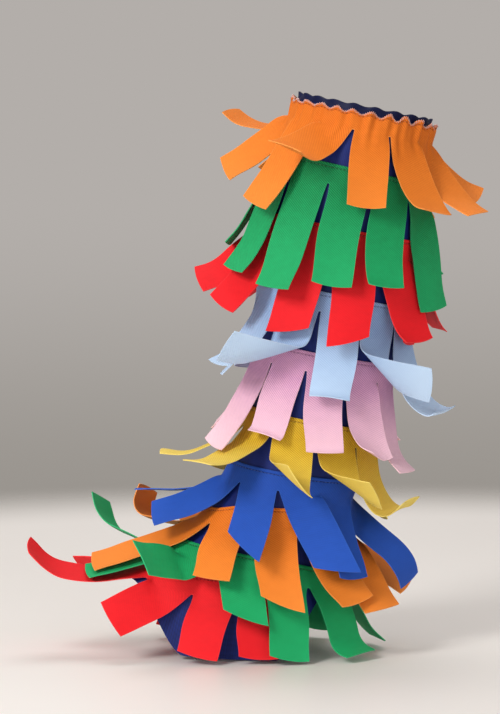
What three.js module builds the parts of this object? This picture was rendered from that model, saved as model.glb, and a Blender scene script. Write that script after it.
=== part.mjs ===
// One leg cover of a pinata costume: a knitted tube worn from below the knee to the floor,
// with ten bands of cut fringe sewn round it. Lengths are mm and angles are degrees.
// +Z is up, -X is toward the toes, and the origin is the middle of the opening under the knee.
// An angle round the leg is 0 at the -Y side, 90 at the heel and -90 at the toes.
import * as THREE from 'three';

// Cloth
const WALL = 1.2; // knitted tube
const BAND = 1.0; // cloth of the fringe bands
const SEAM_GAP = 0.5; // between a band and the tube
const MIDDLE = SEAM_GAP + BAND / 2; // of a band's cloth, out from the tube
const TUBE_COLUMNS = 40;
const RING_STEP = 17; // most height of a ring of the tube's cells
const HEM_ROWS = 4; // rings in the last section, where the hem turns down

// Gathers under the knee: every second column of the tube stands out
const RIM_PLEAT = 0.9;
const RIM_HEIGHT = 5;
const RUFFLE_OUT = 2.2;
const RUFFLE_UP = 1.6;

// Fringe
const HEADER = 16; // uncut cloth above the slits
const SLIT = 1.8;
const STRIP_WIDTH = 34;
const FULLNESS = 1.18; // of the gathered top band: its strips' width over their share of the rim
const STRIP_LENGTH = 60;
const STRIP_STEPS = 8;
const FOLDS = 15;
const ROOT_BLEND = 18; // length over which a strip leaves the tube's round

// The hang of a strip that has no row of its own: each value swings round its middle at its own
// rate from strip to strip, and the lift's middle alternates, so that neighbours stay apart.
const LOOSE = {
  longer: { middle: 0, swing: 3, rate: 2.3 },
  sway: { middle: 0, swing: 3, rate: 1.7 },
  lift: { middle: 14, swing: 3, rate: 2.9 },
  sag: { middle: 0, swing: 4, rate: 1.3 },
  flip: { middle: 14, swing: 16, rate: 3.7 },
  skew: { middle: 0, swing: 18, rate: 4.1 },
  tip: { middle: 4, swing: 9, rate: 1.9 },
  cant: { middle: 0, swing: 2, rate: 3.1 },
  end: { middle: 0, swing: 2.5, rate: 5.3 },
};
const LOOSE_LIFT = 13; // more at every second strip
const LOOSE_PHASE = 2.4; // from one band to the next

// The tube's sections. down: how far down the leg. front and back: where the section meets
// the shin and the calf. side: half its width. drop: how far its sides hang below that line.
const SECTIONS = [
  { down: 0, front: [-54, 11], back: [54, -11], side: 53, drop: 0 },
  { down: 5, front: [-55, 6], back: [53, -16], side: 53, drop: 0 },
  { down: 51, front: [-71, -36], back: [49, -63], side: 57, drop: 0 },
  { down: 98, front: [-82, -84], back: [46, -110], side: 59, drop: 0 },
  { down: 152, front: [-86, -136], back: [37, -163], side: 57, drop: 0 },
  { down: 201, front: [-90, -187], back: [25, -209], side: 53, drop: 0 },
  { down: 256, front: [-95, -242], back: [12, -262], side: 49, drop: 0 },
  { down: 302, front: [-108, -287], back: [-5, -303], side: 46, drop: 0 },
  { down: 332, front: [-127, -326], back: [-16, -331], side: 45, drop: -6 },
  { down: 370, front: [-149, -352], back: [-21, -377], side: 46, drop: -2 },
  { down: 396, front: [-174, -374], back: [-22, -385], side: 48, drop: 0 },
  { down: 412, front: [-196, -383], back: [-21, -391], side: 50, drop: 58 },
];
const HEM = SECTIONS.at(-1).down;
const DROP_FROM = 0.42; // share of the half length where the sides begin to rise to the ends
const DROP_TO = 0.95;

// The fringe bands. seam: how far down the leg. count: strips. first: angle of the first slit.
// length: of a band that doesn't go all the way round. flare: how far the band's foot stands out.
// Each pose row is one strip, in order round the leg; the other strips take a loose hang.
// longer: beyond the usual length. sway: lean to the right. lift: away from the leg at the root.
// sag: bend in its middle. flip: bend below that. skew: slant of those bends. tip: curl of its
// last piece. cant: slant of the bend at the root. end: slant of its cut end. What a row leaves
// out is 0.
const POSE = ['longer', 'sway', 'lift', 'sag', 'flip', 'skew', 'tip', 'cant', 'end'];
const TIERS = [
  { name: 'fringe_01_orange', colour: '#f58a2b', seam: 5, count: 12, first: -126, flare: 0, poses: [
    [8, -12, 72, 5, 30, 0],
    [12, -22, 38, -5, 8, -20, 0, 38],
    [20, -4, 16, -5, 8, -10, 0, 20, 4],
    [4, -30, 46, 5, 45, -30, 10],
    [1, 6, 12, 0, 0, 0, 0, 0, -1],
    [8, 20, 22, 0, 25, 25, 40, 0, 10],
    [16, 14, 44, 10, 25, 30, 0, -25],
    [4, 12, 54, 10, 20, 0, 0, -30],
  ] },
  { name: 'fringe_02_green', colour: '#1fa866', seam: 51, count: 11, first: -114, flare: 0, poses: [
    [12, 0, 14, 0, 10, 0],
    [29, 0, 10, 0, 20, 0, 0, 20, 3],
    [34, 0, 12, 0, 15, -30],
    [20, -2, 9, 0, 0, 0, 0, 0, -2],
    [16, -5, 14, 0, 12, 0, 30, -30, -6],
    [28, 6, 25, -10, 8, 0, 0, -50, -3],
    [14, 0, 14, -4, 0, 0],
  ] },
  { name: 'fringe_03_red', colour: '#f5262f', seam: 98, count: 11, first: -138, flare: 0, poses: [
    [10, 0, 25, 0, 30, 0],
    [12, -26, 48, 0, 30, 0, 0, 20],
    [14, -18, 29, 0, 10, 0],
    [14, -6, 12, 0, 0, 0, 10, 0, -18],
    [14, 1, 12, 0, 5, 0, 0, 0, -18],
    [12, 16, 12, 5, 20, 20, 25],
    [8, -6, 3, 0, 0, 0],
  ] },
  { name: 'fringe_04_light_blue', colour: '#aec9ee', seam: 152, count: 11, first: -108, flare: 0, poses: [
    [14, 0, 15, 0, 25, 0],
    [12, 2, 36, 0, 26, 0],
    [34, -8, 14, 100, 25, -50, 0, -20],
    [8, 1, 12, 0, 5, 0, 70],
    [26, -4, 18, 100, 15, 50, 0, 20],
    [32, 10, 27, 14, 50, 0, 60, -20],
    [4, 0, 24, 0, 10, 0],
  ] },
  { name: 'fringe_05_pink', colour: '#edb4da', seam: 201, count: 11, first: -112, flare: 0, poses: [
    [10, -8, 24, 0, 14, 0],
    [21, -6, 24, 0, 10, 0, 10, 0, 3],
    [0, -6, 14, 0, 10, 0, 75],
    [4, 8, 14, 0, 0, 0, 60, 0, 2],
    [8, 14, 15, 0, 35, 35, 40],
    [18, 2, 20, 0, 42, 0],
    [4, 0, 14, 0, 20, 0],
  ] },
  { name: 'fringe_06_yellow', colour: '#e6c93c', seam: 256, count: 9, first: -154, flare: 1, poses: [
    [0, 0, 30, 0, 10, 0],
    [16, 0, 50, 0, 30, 0],
    [12, 12, 54, 5, 25, 0],
    [6, 14, 28, 60, 30, 45, 0, 20],
    [8, 16, 30, 70, 20, 50, 0, 20],
    [22, 16, 20, 40, 90, 0],
    [4, 0, 26, 0, 20, 0],
  ] },
  { name: 'fringe_07_royal_blue', colour: '#2a62cc', seam: 302, count: 9, first: -167, flare: 1.5, poses: [
    [0, 0, 40, 0, 10, 0],
    [20, 0, 50, 10, 0, 0],
    [10, -20, 30, 0, 8, -20, 0, 0, 5],
    [-4, 30, 22, 0, 0, 20, 0, 0, 38],
    [10, 56, 26, 0, 0, 0, 0, 0, 32],
    [8, 12, 38, 0, 0, 0],
    [30, 8, 80, 0, -36, 0, -14, -24],
    [8, 36, 34, 0, -10, 0],
  ] },
  { name: 'fringe_08_orange', colour: '#f58a2b', seam: 332, count: 9, first: -176, flare: 1.5, poses: [
    [36, 20, 50, 0, 80, 0],
    [26, 0, 56, 0, 98, 0, 0, 0, 3],
    [34, -8, 24, 3, 0, 0],
    [-8, 22, 24, -5, 5, 0, 0, 0, 4],
    [6, 20, 22, -5, 10, 15, 0, 0, 28],
    [8, 24, 20, 10, 20, 20],
    [16, -10, 64, 0, 8, 0, 0, -54],
    [24, -28, 88, 0, 0, 0, 0, -60],
    [6, 0, 14, 0, 14, 0],
  ] },
  { name: 'fringe_09_green', colour: '#1fa866', seam: 370, count: 10, first: -138, flare: 4.5, poses: [
    [38, 0, 52, -5, 50, 0],
    [8, 0, 10, 5, 0, 0],
    [4, -8, 58, 0, 6, 0, 0, 10],
    [-18, 50, 8, 0, 10, 20, 0, 0, 30],
    [4, 26, 4, 0, 5, 0, 0, 0, 8],
    [4, 10, 0, 0, 60, 0],
    [0, 0, 6, 0, 20, 0],
    [0, 0, 6, 0, 20, 0],
  ] },
  { name: 'fringe_10_red', colour: '#f5262f', seam: 396, count: 7, first: -191, length: 248, flare: 1.5, poses: [
    [-14, 0, 14, 0, 0, 0],
    [-6, 0, 20, 0, 0, 0],
    [4, 0, 30, 0, 0, 0],
    [36, 0, 16, 12, 38, 0, 0, 20],
    [-4, -32, 34, 0, 0, 0],
    [-9, -3, 18, 0, 0, 0],
    [-14, 2, 13, 0, 0, 0],
  ] },
];
const BEND_FROM = 0.15; // along a strip, where its bends begin to slant
const BEND_TO = 0.7;

const rad = (degrees) => (degrees * Math.PI) / 180;
const clamp = (x, low, high) => Math.min(high, Math.max(low, x));
const smooth = (low, high, x) => {
  const t = clamp((x - low) / (high - low), 0, 1);
  return t * t * (3 - 2 * t);
};
const mix = (a, b, t) => a + (b - a) * t;

// A smooth curve through the values of one column of SECTIONS.
function through(read) {
  const x = SECTIONS.map((s) => s.down);
  const y = SECTIONS.map(read);
  const slope = x.slice(1).map((right, i) => (y[i + 1] - y[i]) / (right - x[i]));
  const tangent = x.map((_, i) => {
    const before = slope[i - 1] ?? slope[i];
    const after = slope[i] ?? slope[i - 1];
    return before * after <= 0 ? 0 : (2 * before * after) / (before + after);
  });
  return (at) => {
    const i = clamp(x.findLastIndex((from) => from <= at), 0, x.length - 2);
    const step = x[i + 1] - x[i];
    const t = clamp((at - x[i]) / step, 0, 1);
    const rise = t * t * (3 - 2 * t);
    const left = t * (1 - t) * (1 - t) * tangent[i] * step;
    const right = t * t * (1 - t) * tangent[i + 1] * step;
    return mix(y[i], y[i + 1], rise) + left - right;
  };
}
const frontX = through((s) => s.front[0]);
const frontZ = through((s) => s.front[1]);
const backX = through((s) => s.back[0]);
const backZ = through((s) => s.back[1]);
const sideY = through((s) => s.side);
const sideDrop = through((s) => s.drop);

// A point of the tube's outer face.
function onTube(angle, down) {
  const toHeel = Math.sin(rad(angle));
  const along = (1 + toHeel) / 2;
  const hang = sideDrop(down) * (1 - smooth(DROP_FROM, DROP_TO, Math.abs(toHeel)));
  return new THREE.Vector3(
    mix(frontX(down), backX(down), along),
    -sideY(down) * Math.cos(rad(angle)),
    mix(frontZ(down), backZ(down), along) - hang,
  );
}

// The tube's own directions at a point: out of the cloth, down it and round it.
function directions(angle, down) {
  const at = Math.min(down, HEM - 0.5);
  const below = onTube(angle, at + 0.5).sub(onTube(angle, at - 0.5)).normalize();
  const round = onTube(angle + 0.5, at).sub(onTube(angle - 0.5, at)).normalize();
  const out = new THREE.Vector3().crossVectors(below, round).normalize();
  round.crossVectors(out, below).normalize();
  return { out, below, round };
}

// The point that lies a given length of cloth below a seam, also past the hem, and moved out.
function belowSeam(angle, seam, length, out) {
  let down = seam;
  let left = length;
  const step = 2;
  while (left > 0 && down < HEM) {
    const rate = onTube(angle, Math.min(down + 0.5, HEM)).distanceTo(onTube(angle, down - 0.5));
    const used = Math.min(left, step, (HEM - down) * rate + 0.01);
    down += used / rate;
    left -= used;
  }
  down = Math.min(down, HEM);
  const d = directions(angle, down);
  const point = onTube(angle, down).addScaledVector(d.below, Math.max(left, 0));
  return { point: point.addScaledVector(d.out, out), ...d };
}

// A closed body from quads and triangles that share their points.
class Body {
  constructor() {
    this.points = [];
    this.faces = [];
  }

  add(v) {
    this.points.push(v.x, v.y, v.z);
    return this.points.length / 3 - 1;
  }

  triangle(a, b, c) {
    this.faces.push(a, b, c);
  }

  quad(a, b, c, d) {
    this.faces.push(a, b, c, a, c, d);
  }

  // A sheet's cell: outer and inner corners in the order top left, bottom left, bottom right, top right.
  cell([a, b, c, d], [e, f, g, h]) {
    this.quad(a, b, c, d);
    this.quad(e, h, g, f);
  }

  mesh(name, material) {
    const geometry = new THREE.BufferGeometry();
    geometry.setAttribute('position', new THREE.Float32BufferAttribute(this.points, 3));
    geometry.setIndex(this.faces);
    geometry.computeVertexNormals();
    const mesh = new THREE.Mesh(geometry, material);
    mesh.name = name;
    return mesh;
  }
}

function cloth(colour, roughness) {
  return new THREE.MeshStandardMaterial({ color: colour, roughness, metalness: 0 });
}

function makeTube() {
  const body = new Body();
  const rows = [0, RIM_HEIGHT / 2];
  SECTIONS.slice(1, -1).forEach(({ down }, i) => {
    const next = SECTIONS[i + 2].down;
    const parts = next === HEM ? HEM_ROWS : Math.ceil((next - down) / RING_STEP);
    for (let part = 0; part < parts; part += 1) rows.push(mix(down, next, part / parts));
  });
  rows.push(HEM);
  const grid = rows.map((down) => {
    const ring = [];
    for (let i = 0; i < TUBE_COLUMNS; i += 1) {
      const angle = (360 * i) / TUBE_COLUMNS;
      const { out } = directions(angle, Math.max(down, 1));
      const pleat = RIM_PLEAT * (i % 2 ? 1 : -1) * Math.max(0, 1 - down / RIM_HEIGHT);
      const outer = onTube(angle, down).addScaledVector(out, pleat);
      const inner = outer.clone().addScaledVector(out, -WALL);
      ring.push({ outer: body.add(outer), inner: body.add(inner) });
    }
    return ring;
  });
  for (let i = 0; i < TUBE_COLUMNS; i += 1) {
    const j = (i + 1) % TUBE_COLUMNS;
    for (let row = 0; row + 1 < rows.length; row += 1) {
      const corners = [grid[row][i], grid[row + 1][i], grid[row + 1][j], grid[row][j]];
      body.cell(corners.map((c) => c.outer), corners.map((c) => c.inner));
    }
    const top = grid[0];
    const hem = grid.at(-1);
    body.quad(top[i].outer, top[j].outer, top[j].inner, top[i].inner);
    body.quad(hem[i].outer, hem[i].inner, hem[j].inner, hem[j].outer);
  }
  return body.mesh('leg_tube', cloth('#27338f', 0.9));
}

// A strip's pose: its row in the table, or a loose hang that differs from its neighbours'.
function poseOf(tier, index, strip) {
  const row = tier.poses[strip];
  if (row) return Object.fromEntries(POSE.map((name, i) => [name, row[i] ?? 0]));
  const pose = {};
  for (const name of POSE) {
    const { middle, swing, rate } = LOOSE[name];
    pose[name] = middle + swing * Math.sin(rate * (strip + 1) + LOOSE_PHASE * index);
  }
  pose.longer += tier.poses.at(-1)[0];
  pose.lift += strip % 2 ? LOOSE_LIFT : 0;
  return pose;
}

// A flat strip bent about slanting lines, so that its cloth never stretches.
// Gives a function from a place on the flat strip to the place and the face's direction.
function bentStrip(root, pose) {
  const length = STRIP_LENGTH + pose.longer;
  const frame = {
    at: 0,
    slant: 0,
    point: root.point.clone(),
    below: root.below.clone().applyAxisAngle(root.out, rad(pose.sway)),
    round: root.round.clone().applyAxisAngle(root.out, rad(pose.sway)),
    out: root.out.clone(),
  };
  const frames = [frame];
  const parts = [
    { from: 0, to: 4, bend: pose.lift },
    { from: 4, to: 9, bend: pose.sag },
    { from: 9, to: 13, bend: pose.flip },
    { from: 13, to: FOLDS, bend: pose.tip },
  ];
  for (const { from, to, bend } of parts) {
    for (let k = from; k < to; k += 1) {
      const before = frames.at(-1);
      const share = (k + 0.5) / FOLDS;
      const at = share * length;
      const slant = rad(mix(pose.cant, pose.skew, smooth(BEND_FROM, BEND_TO, share)));
      const axis = before.round.clone().multiplyScalar(Math.cos(slant));
      axis.addScaledVector(before.below, Math.sin(slant));
      const turn = -rad(bend) / (to - from);
      const turned = (v) => v.clone().applyAxisAngle(axis, turn);
      frames.push({
        at,
        slant: Math.tan(slant),
        point: before.point.clone().addScaledVector(before.below, at - before.at),
        below: turned(before.below),
        round: turned(before.round),
        out: turned(before.out),
      });
    }
  }
  return {
    length,
    place(across, down) {
      const f = frames.findLast((one) => down >= one.at + across * one.slant) ?? frames[0];
      const point = f.point.clone().addScaledVector(f.round, across);
      return { point: point.addScaledVector(f.below, down - f.at), out: f.out };
    },
  };
}

// Angles round a seam at equal lengths of cloth, from the band's first slit.
function roundSeam(tier) {
  const lengths = [0];
  for (let step = 1; step <= 360; step += 1) {
    const here = onTube(tier.first + step, tier.seam);
    lengths.push(lengths.at(-1) + here.distanceTo(onTube(tier.first + step - 1, tier.seam)));
  }
  const angleAt = (length) => {
    const i = clamp(lengths.findLastIndex((from) => from <= length), 0, 359);
    return tier.first + i + (length - lengths[i]) / (lengths[i + 1] - lengths[i]);
  };
  return { whole: lengths.at(-1), angleAt };
}

function makeTier(tier, index) {
  const body = new Body();
  const closed = !tier.length;
  const { whole, angleAt } = roundSeam(tier);
  const pitch = (tier.length ?? whole) / tier.count;
  const ruffled = index === 0;
  const width = Math.min(STRIP_WIDTH, (pitch - SLIT) * (ruffled ? FULLNESS : 1));
  const inner = SEAM_GAP;
  const outer = SEAM_GAP + BAND;

  // Points of the band, one column at a time: three rows, and four columns to each strip
  const columns = [];
  for (let strip = 0; strip < tier.count; strip += 1) {
    for (let c = 0; c < 4; c += 1) {
      const angle = angleAt(strip * pitch + SLIT / 2 + (c * (pitch - SLIT)) / 3);
      const crest = ruffled ? columns.length % 2 : 0;
      const rows = [0, HEADER / 2, HEADER].map((length, row) => {
        const out = mix(crest * RUFFLE_OUT, tier.flare, row / 2);
        const up = row === 0 ? crest * RUFFLE_UP : 0;
        const at = belowSeam(angle, tier.seam - up, length, 0);
        const move = (distance) => at.point.clone().addScaledVector(at.out, distance + out);
        return { outer: body.add(move(outer)), inner: body.add(move(inner)), at, move };
      });
      columns.push({ rows, strip, c });
    }
  }
  const joins = closed ? columns.length : columns.length - 1;
  for (let i = 0; i < joins; i += 1) {
    const left = columns[i].rows;
    const right = columns[(i + 1) % columns.length].rows;
    for (let row = 0; row < 2; row += 1) {
      const corners = [left[row], left[row + 1], right[row + 1], right[row]];
      body.cell(corners.map((p) => p.outer), corners.map((p) => p.inner));
    }
    body.quad(left[0].outer, right[0].outer, right[0].inner, left[0].inner);
    if (columns[i].c === 3) body.quad(left[2].outer, left[2].inner, right[2].inner, right[2].outer);
  }
  if (!closed) {
    const a = columns[0].rows;
    const z = columns.at(-1).rows;
    for (let row = 0; row < 2; row += 1) {
      body.quad(a[row].outer, a[row].inner, a[row + 1].inner, a[row + 1].outer);
      body.quad(z[row].outer, z[row + 1].outer, z[row + 1].inner, z[row].inner);
    }
  }

  for (let strip = 0; strip < tier.count; strip += 1) {
    const own = columns.filter((column) => column.strip === strip).map((column) => column.rows[2]);
    const middle = angleAt((strip + 0.5) * pitch);
    const root = belowSeam(middle, tier.seam, HEADER, MIDDLE + tier.flare);
    root.below.applyAxisAngle(root.round, -Math.atan2(tier.flare, HEADER));
    root.out.applyAxisAngle(root.round, -Math.atan2(tier.flare, HEADER));
    addStrip(body, own, root, poseOf(tier, index, strip), width);
  }
  return body.mesh(tier.name, cloth(tier.colour, 0.75));
}

// One strip, from the four columns at the foot of its band down to its cut end.
function addStrip(body, own, root, pose, width) {
  const bent = bentStrip(root, pose);
  const edge = (side, share) => {
    const across = (side * width) / 2;
    const down = share * (bent.length + across * Math.tan(rad(pose.end)));
    const { point, out } = bent.place(across, down);
    const held = own[side < 0 ? 0 : 3];
    const lean = held.move(MIDDLE).sub(bent.place(across, 0).point);
    const hold = (1 - clamp(down / ROOT_BLEND, 0, 1)) ** 2;
    point.addScaledVector(lean, hold);
    const face = out.clone().lerp(held.at.out, hold).normalize();
    return {
      outer: body.add(point.clone().addScaledVector(face, BAND / 2)),
      inner: body.add(point.clone().addScaledVector(face, -BAND / 2)),
    };
  };
  const rows = [];
  for (let step = 1; step <= STRIP_STEPS; step += 1) {
    rows.push([edge(-1, step / STRIP_STEPS), edge(1, step / STRIP_STEPS)]);
  }
  const [p0, p1, p2, p3] = own;
  const [q0, q1] = rows[0];
  for (const [face, flip] of [['outer', false], ['inner', true]]) {
    const corners = [[p0, q0, p1], [p1, q0, q1], [p1, q1, p2], [p2, q1, p3]];
    for (const three of corners) {
      const [a, b, c] = three.map((p) => p[face]);
      if (flip) body.triangle(a, c, b);
      else body.triangle(a, b, c);
    }
  }
  const lefts = [p0, ...rows.map((row) => row[0])];
  const rights = [p3, ...rows.map((row) => row[1])];
  for (let i = 0; i < STRIP_STEPS; i += 1) {
    const corners = [lefts[i], lefts[i + 1], rights[i + 1], rights[i]];
    if (i > 0) body.cell(corners.map((p) => p.outer), corners.map((p) => p.inner));
    const [a, b, c, d] = corners;
    body.quad(a.outer, a.inner, b.inner, b.outer);
    body.quad(d.outer, c.outer, c.inner, d.inner);
  }
  const [left, right] = rows.at(-1);
  body.quad(left.outer, left.inner, right.inner, right.outer);
}

const group = new THREE.Group();
group.name = 'pinata_leg_cover';
group.add(makeTube());
TIERS.forEach((tier, index) => group.add(makeTier(tier, index)));

export default group;
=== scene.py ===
import bisect
import functools
import math

import bpy
from mathutils import Matrix, Vector


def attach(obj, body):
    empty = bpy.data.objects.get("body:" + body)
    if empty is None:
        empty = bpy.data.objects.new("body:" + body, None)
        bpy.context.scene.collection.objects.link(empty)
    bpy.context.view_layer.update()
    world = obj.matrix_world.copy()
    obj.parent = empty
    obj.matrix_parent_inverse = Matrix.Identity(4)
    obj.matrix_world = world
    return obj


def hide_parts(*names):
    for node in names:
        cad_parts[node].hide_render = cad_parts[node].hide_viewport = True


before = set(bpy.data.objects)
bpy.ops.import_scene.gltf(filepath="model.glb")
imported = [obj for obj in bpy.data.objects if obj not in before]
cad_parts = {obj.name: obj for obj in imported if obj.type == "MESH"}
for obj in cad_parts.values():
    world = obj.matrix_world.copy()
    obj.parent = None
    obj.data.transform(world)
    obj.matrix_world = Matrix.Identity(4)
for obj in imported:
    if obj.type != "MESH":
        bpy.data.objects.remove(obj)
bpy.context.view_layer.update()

MM = 0.001

# Camera and stage
IMAGE_MM = 582  # longer side of the view, at the object
EYE = Vector((0, -2500, 0))
AIM = Vector((-93.7, 0, -204.6))
SENSOR = 36
CLIP_END = 50000
FLOOR = -446.8
FLOOR_REACH = 1500
FLOOR_CLEAR = (820, 1150)  # from the middle, where the floor gives way to the backdrop
FLOOR_TONES = ("#EFEBE7", "#F8F5F2")
FLOOR_MOTTLE = (5, 5)  # scale and detail of its noise
FLOOR_ROUGH = 0.45
BACKDROP = (-0.135, -0.03)  # rise of a ray, from where the backdrop is darkest to its usual tone
BACKDROP_TONES = ("#99948E", "#B3AEAA")
LIGHT_AIM = Vector((-60, 0, -250))
# Soft square lights: place, side length, power in watts and colour
LIGHTS = dict(
    key=(Vector((-1400, -1750, 1100)), 800, 39, (1, 0.98, 0.95)),
    fill=(Vector((1300, -2200, 350)), 1600, 10, (0.95, 0.97, 1)),
    low=(Vector((-900, -1700, -200)), 700, 4, (1, 0.99, 0.97)),
    top=(Vector((-200, 700, 1900)), 1200, 16, (1, 1, 1)),
)

# Cloth
KNIT = 1.2  # thickness of the tube
RIBBON = 0.8  # thickness of the fringe
BAND = 1.0  # the fringe with its seam allowance
SEAM_GAP = 0.5
MIDDLE = SEAM_GAP + BAND / 2  # from the tube's face to the middle of a band
FAR = 9  # stands for a cut edge that isn't near

# Gathers under the knee
RIM_PLEAT = 0.9  # depth of the rim's pleats
RIM_WAVES = 20
RIM_UNEVEN = 0.25  # share by which the pleats' depth varies round the rim
RIM_HEIGHT = 5
RIM_SCALLOP = 1.6  # height of the waves of its top edge
RIM_SHADE = 0.75  # how strongly painted shade darkens the rim by its elastic casing
RUFFLE_OUT = 2.2  # how far the ruffle's crests stand out
RUFFLE_UP = 1.6  # how far they stand up
RUFFLE_DIP = 2.8  # how far the ruffle's edge sinks between its crests
GATHER = 0.85  # height of the folds that run down from the gathers
GATHER_FROM, GATHER_FADE = 4, 17
GATHERS = (31, 47)  # folds all round, of two kinds that meet unevenly
GATHER_SECOND = 0.6  # size of the second kind
RUFFLE_SHIFT = 0.6 * math.pi  # radians, as are the next two
RUFFLE_DRIFT = ((3, 0.7), (7, 0.4))  # slow waves round the rim that shift the crests, and their size
RUFFLE_CALM = 0.85 * math.pi  # where the crests are lowest
RUFFLE_TALL = 0.85  # height of the crests, as a share of the whole
RUFFLE_VARY = 0.3  # how much that height varies round the rim
RUFFLE_FLUTTER = 0.12  # the same, in shorter waves

# Fringe
HEADER = 16  # height of a band's uncut top
SLIT = 1.8  # width of the slit between two strips
STRIP_WIDTH = 34
FULLNESS = 1.18  # how much wider the gathered band is cut than its seam is long
STRIP_LENGTH = 60  # below the uncut top
ROOT_BLEND = 18  # over which a strip leaves the round of the leg
DROP_FROM, DROP_TO = 0.42, 0.95  # share of the way to the toes or heel, where the hem rises
BEND_FROM, BEND_TO = 0.15, 0.7  # share of a strip, over which its bends turn from cant to skew
FREE_FROM = 0.3  # share of a strip, below which its edges are free to curl
CURL = 1.6  # most that a strip's edges stand off its middle
CURL_RATES = (1.9, 1.7)  # how fast the curl changes from strip to strip and from band to band
RIPPLE = 0.35  # height of the waves of a strip's cut edges
RIPPLE_LONG = 5.5
BOW = 2.0  # most that a strip is cut off the straight
BOW_RATES = (0.8, 2.1)
BELLY = 0.03  # how much wider a strip is in its middle
ROUND = 1.6  # how much shorter a strip is cut at its corners
PARTS = 15  # equal parts of a strip's length
BENDS = ((0, 4, "lift"), (4, 9, "sag"), (9, 13, "flip"), (13, PARTS, "tip"))  # by part

# Sewing
STITCH_RADIUS = 0.28
STITCH_LENGTH = 2.3
STITCH_PITCH = 3.1
STITCH_DOWN = 3.0  # from a band's top edge
STITCH_START = 1
STITCH_RISES = (0.15, 0.4, 0.4, 0.15)  # off the cloth, from a stitch's one end to its other
THREAD_TAPER = 0.35  # thickness of a thread's ends, as a share of its middle
ROLL_DOWN = 1.3  # to the middle of a band's rolled top edge
ROLL_WIDE = 0.9
ROLL_HIGH = 0.45
GROOVE_WIDE = 0.6
GROOVE_DEEP = 0.3
OVERLOCK_RADIUS = 0.33
OVERLOCK_PITCH = 1.3
OVERLOCK_DEEP = 1.5  # how far down the cloth its zigzag reaches
OVERLOCK_STAND = 0.2  # off the cloth
OVERLOCK_RISE = 0.35  # above the cloth's top edge
OVERLOCK_OVER = 0.3  # share of the way from the cloth's middle to its face, at the top edge
OVERLOCK_TONES = ("#F3C9C0", "#C98F8C")

# Weave
RIB = 1.45  # from one diagonal rib to the next
PICK = 1.2  # from one dot to the next along a rib
RIB_LEAN = 35  # degrees below level
RIB_SHARE = 0.7  # how much of the weave is ribs, and the rest is dots
WEAVE_FADE = (22, 80)  # below the seam, over which the weave's relief and the painted shade in its hollows fade, as the strips come into the light
WEAVE_LEFT = 0.35  # share of the weave that still shows there
# how far painted shade darkens the weave's hollows
HOLLOW_SHADE = 0.85
BAND_SHADE_FROM, BAND_SHADE_TO = 4, 45  # below the seam, over which painted shade from the band above lifts, so the cloth gets lighter
# share of full light at the top of that painted shade, and below it
BAND_SHADE_TONES = (0.72, 0.86)
CLOUD = 0.3  # strength of the soft mottling
CLOUD_NOISE = (26, 3)  # scale and detail
FUZZ = 0.35
FUZZ_NOISE = (900, 2)
SEAM_DARK = 0.75
SEAM_TONE = 0.45
SEAM_HALF = 0.7  # half the width of the dark line along the stitches
CUT_EDGE = (0.1, 0.5)  # from the edge, over which the pale cut threads show, together with a painted backlight glow
CUT_PALE = 0.3
# How far painted light pales each colour toward its strips' ends, and over what length below the seam
TIP_LIGHT = dict(orange=0.12, green=0.08, red=0.0, light_blue=0.7, pink=0.75, yellow=0.45, royal_blue=0.05)
TIP_LIGHT_FROM, TIP_LIGHT_TO = 25, 95
WALE = 1.3  # from one upright rib of the knit to the next
COURSE = 0.9
WALE_SHARE = 0.7
KNIT_LIGHT = 0.5  # how much the knit's loops lighten it, and how much the mottling does
KNIT_CLOUD = 0.6
KNIT_NOISE = (18, 4)
KNIT_AROUND = 56  # the radius at which the knit's ribs have their true width
# tone of the painted shade along the rim
RIM_SHADE_TONE = 0.4
TWIST_NOISE = (1400, 1)

# How each surface takes the light, and the strength and depth of its relief
RIBBON_SURFACE = {"Roughness": 0.72, "Specular IOR Level": 0.28,
                  "Sheen Weight": 0.12, "Sheen Roughness": 0.35}
RIBBON_RELIEF = (0.7, 0.26)
KNIT_SURFACE = {"Roughness": 0.55, "Specular IOR Level": 0.22, "Sheen Weight": 0.03}
KNIT_RELIEF = (0.5, 0.12)
THREAD_SURFACE = {"Roughness": 0.5, "Sheen Weight": 0.2}
THREAD_RELIEF = (0.4, 0.08)

# Fineness
TUBE_COLUMNS = 200
TUBE_STEP = 3.2
RIM_RINGS = (0, 0.8, 1.8, 3, 4.2, 5.5, 7)
FOOT_FROM = 380  # below which the rings lie closer
STRIP_COLUMNS = 12
RUFFLE_COLUMNS = 24
STRIP_ROWS = 44
FOLDS = 60
NEAR = 0.5  # mm or degrees between the places that a direction is measured from
WALK = 2  # longest step along the cloth
HEADER_ROWS = (0, 0.5, 1.4, 2.5, 3.0, 3.5, 4.6, 7.5, 11.5, HEADER)

# The tube's sections, as they go down the leg
SECTION = ("down", "front_x", "front_z", "back_x", "back_z", "side", "drop")
SECTIONS = (
    (0, -54, 11, 54, -11, 53, 0),
    (5, -55, 6, 53, -16, 53, 0),
    (51, -71, -36, 49, -63, 57, 0),
    (98, -82, -84, 46, -110, 59, 0),
    (152, -86, -136, 37, -163, 57, 0),
    (201, -90, -187, 25, -209, 53, 0),
    (256, -95, -242, 12, -262, 49, 0),
    (302, -108, -287, -5, -303, 46, 0),
    (332, -127, -326, -16, -331, 45, -6),
    (370, -149, -352, -21, -377, 46, -2),
    (396, -174, -374, -22, -385, 48, 0),
    (412, -196, -383, -21, -391, 50, 58),
)
DOWNS = [row[0] for row in SECTIONS]
HEM = DOWNS[-1]

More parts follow.
